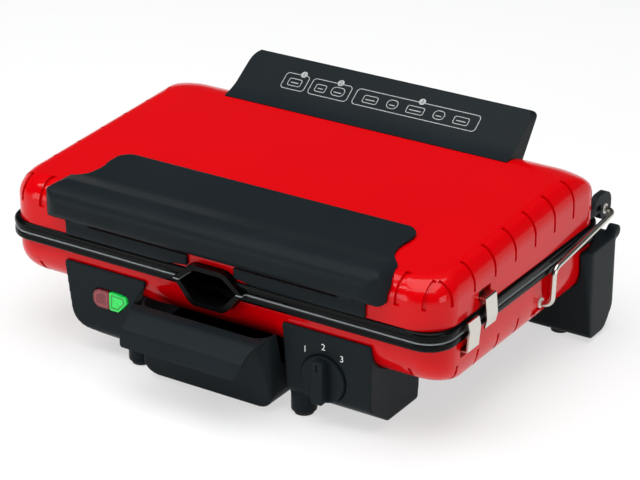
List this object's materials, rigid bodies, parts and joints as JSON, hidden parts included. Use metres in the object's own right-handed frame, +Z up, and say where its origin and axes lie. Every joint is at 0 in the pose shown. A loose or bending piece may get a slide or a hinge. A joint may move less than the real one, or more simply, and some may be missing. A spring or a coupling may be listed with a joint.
{
  "type": "contact grill",
  "caption": "Table-top contact grill: hinged lid on a wire bail, ribbed plates with drain spout, pull-out drip tray, thermostat knob and plate clips.",
  "frame": {"origin": "on the table under the middle of the overall box", "axes": "+X to the right as one faces the handle, -Y to the front where the handle and the tray are, +Z up"},
  "size_m": [0.356, 0.2802, 0.1485],
  "materials": {
    "red_gloss_moulding": "glossy red moulding",
    "black_moulding": "satin black moulding",
    "white_moulding": "heat-proof white moulding",
    "board_laminate": "bare laminate",
    "rubber": "matt black rubber",
    "coated_plate": "die-cast with a black non-stick coating",
    "element_sheath": "heat-stained tube",
    "reflector_sheet": "bright rolled sheet",
    "red_lens": "clear red, unlit",
    "green_lens": "clear green, lit",
    "lamp_glass": "clear glass",
    "fastener_steel": "zinc-plated",
    "rail_steel": "black paint",
    "bright_steel": "bright stainless"
  },
  "bodies": {
    "base": {"lower_shell": "red_gloss_moulding", "base_cover": "black_moulding", "left_front_foot": "black_moulding", "right_front_foot": "black_moulding", "left_rear_leg": "black_moulding", "right_rear_leg": "black_moulding", "rubber_feet": "rubber", "lower_plate": "coated_plate", "lower_element": "element_sheath", "lower_reflector": "reflector_sheet", "thermostat": "white_moulding", "terminal_block": "white_moulding", "thermal_fuse": "fastener_steel", "red_lens": "red_lens", "green_lens": "green_lens", "pilot_lamps": "lamp_glass", "lamp_board": "board_laminate", "base_screws": "fastener_steel", "lower_clip_pins": "fastener_steel", "bail_bushes": "black_moulding", "left_tray_rail": "rail_steel", "right_tray_rail": "rail_steel", "cord_gland": "rubber"},
    "bail": {"wire_bail": "bright_steel"},
    "hinge_sleeves": {"hinge_bushes": "black_moulding"},
    "lid": {"lid_shell": "red_gloss_moulding", "upper_plate": "coated_plate", "upper_element": "element_sheath", "upper_reflector": "reflector_sheet", "handle": "black_moulding", "handle_screws": "fastener_steel", "rear_panel": "black_moulding", "panel_screws": "fastener_steel", "left_hinge_ear": "black_moulding", "right_hinge_ear": "black_moulding", "upper_clip_pins": "fastener_steel"},
    "knob": {"thermostat_knob": "black_moulding", "thermostat_shaft": "fastener_steel"},
    "tray": {"drip_tray": "black_moulding"},
    "clip_upper_left": {"upper_left_clip": "bright_steel"},
    "clip_upper_right": {"upper_right_clip": "bright_steel"},
    "clip_lower_left": {"lower_left_clip": "bright_steel"},
    "clip_lower_right": {"lower_right_clip": "bright_steel"}
  },
  "joints": [
    {"name": "bail_lift", "type": "hinge", "parent": "base", "child": "bail", "pos_m": [0, 0.0426, 0.051], "axis": [1, 0, 0], "range_deg": [0, 14]},
    {"name": "lid_float", "type": "slide", "parent": "base", "child": "hinge_sleeves", "axis": [0, -0.4828, 0.8757], "range_m": [0, 0.02324]},
    {"name": "lid_open", "type": "hinge", "parent": "hinge_sleeves", "child": "lid", "pos_m": [0, 0.1311, 0.0865], "axis": [-1, 0, 0], "range_deg": [0, 180]},
    {"name": "knob_turn", "type": "hinge", "parent": "base", "child": "knob", "pos_m": [0.086, -0.0985, 0.0335], "axis": [0, 1, 0], "range_deg": [-38, 38]},
    {"name": "tray_pull", "type": "slide", "parent": "base", "child": "tray", "axis": [0, -1, 0], "range_m": [0, 0.11]},
    {"name": "upper_left_release", "type": "hinge", "parent": "lid", "child": "clip_upper_left", "pos_m": [-0.1635, -0.0416, 0.0945], "axis": [0, 1, 0], "range_deg": [0, 8], "stiffness_Nm_per_rad": 0.1},
    {"name": "upper_right_release", "type": "hinge", "parent": "lid", "child": "clip_upper_right", "pos_m": [0.1635, -0.0416, 0.0945], "axis": [0, -1, 0], "range_deg": [0, 8], "stiffness_Nm_per_rad": 0.1},
    {"name": "lower_left_release", "type": "hinge", "parent": "base", "child": "clip_lower_left", "pos_m": [-0.1635, -0.0632, 0.0629], "axis": [0, -1, 0], "range_deg": [0, 8], "stiffness_Nm_per_rad": 0.1},
    {"name": "lower_right_release", "type": "hinge", "parent": "base", "child": "clip_lower_right", "pos_m": [0.1635, -0.0632, 0.0629], "axis": [0, 1, 0], "range_deg": [0, 8], "stiffness_Nm_per_rad": 0.1}
  ],
  "couplings": [
    {"joint": "bail_lift", "follows": "lid_float", "rad_per_m": 10.51}
  ]
}
